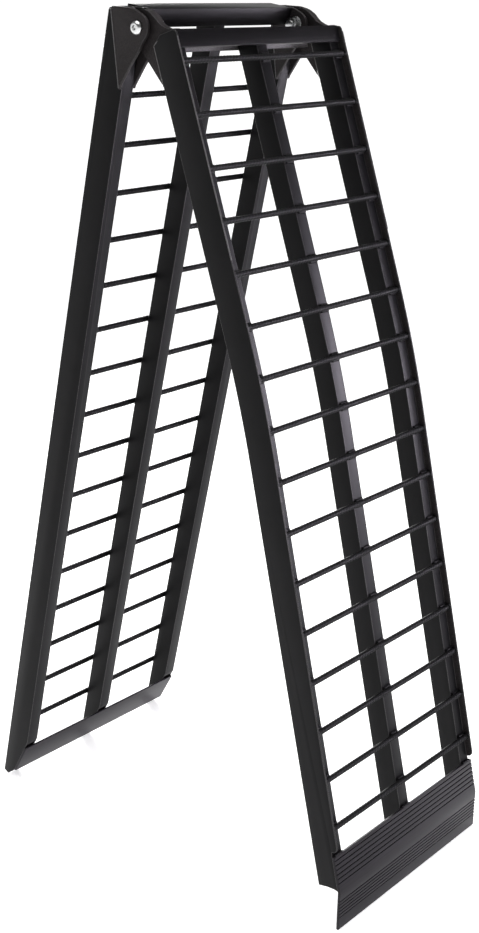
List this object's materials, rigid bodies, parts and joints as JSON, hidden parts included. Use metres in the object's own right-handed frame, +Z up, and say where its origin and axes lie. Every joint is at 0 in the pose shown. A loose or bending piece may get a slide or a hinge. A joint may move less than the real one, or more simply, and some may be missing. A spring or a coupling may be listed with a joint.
{
  "type": "folding dog ramp",
  "caption": "Arched folding ramp of slim black rails and rungs, hinged in the middle and standing like a trestle on its ribbed lip and ground plate.",
  "frame": {"origin": "on the floor, in the middle of the box round the standing ramp", "axes": "X across the ramp, -Y toward the foot of the section with the ribbed lip, +Z up"},
  "size_m": [0.4042, 0.7424, 1.3156],
  "materials": {
    "black_coat": "satin",
    "black_rung": "satin",
    "charcoal_extrusion": "satin",
    "zinc_hardware": "satin"
  },
  "bodies": {
    "rear_section": {"rear_left_rail": "black_coat", "rear_centre_rail": "black_coat", "rear_right_rail": "black_coat", "rear_hinge_channel": "black_coat", "rear_left_outer_ear": "black_coat", "rear_left_inner_ear": "black_coat", "rear_right_outer_ear": "black_coat", "rear_right_inner_ear": "black_coat", "ground_plate": "charcoal_extrusion", "rear_rung_00": "black_rung", "rear_rung_01": "black_rung", "rear_rung_02": "black_rung", "rear_rung_03": "black_rung", "rear_rung_04": "black_rung", "rear_rung_05": "black_rung", "rear_rung_06": "black_rung", "rear_rung_07": "black_rung", "rear_rung_08": "black_rung", "rear_rung_09": "black_rung", "rear_rung_10": "black_rung", "rear_rung_11": "black_rung", "rear_rung_12": "black_rung", "rear_rung_13": "black_rung", "rear_rung_14": "black_rung", "rear_rung_15": "black_rung", "rear_rung_16": "black_rung", "left_pivot_bolt": "zinc_hardware", "right_pivot_bolt": "zinc_hardware", "left_washer": "zinc_hardware", "right_washer": "zinc_hardware", "left_locknut": "zinc_hardware", "right_locknut": "zinc_hardware"},
    "front_section": {"front_left_rail": "black_coat", "front_centre_rail": "black_coat", "front_right_rail": "black_coat", "front_hinge_channel": "black_coat", "front_left_tongue": "black_coat", "front_right_tongue": "black_coat", "left_hinge_sleeve": "zinc_hardware", "right_hinge_sleeve": "zinc_hardware", "ramp_lip": "charcoal_extrusion", "front_rung_01": "black_rung", "front_rung_02": "black_rung", "front_rung_03": "black_rung", "front_rung_04": "black_rung", "front_rung_05": "black_rung", "front_rung_06": "black_rung", "front_rung_07": "black_rung", "front_rung_08": "black_rung", "front_rung_09": "black_rung", "front_rung_10": "black_rung", "front_rung_11": "black_rung", "front_rung_12": "black_rung", "front_rung_13": "black_rung", "front_rung_14": "black_rung", "front_rung_15": "black_rung", "front_rung_16": "black_rung"}
  },
  "joints": [
    {"name": "fold_hinge", "type": "hinge", "parent": "rear_section", "child": "front_section", "pos_m": [0, 0.0018, 1.2836], "axis": [-1, 0, 0], "range_deg": [-27, 135]}
  ]
}
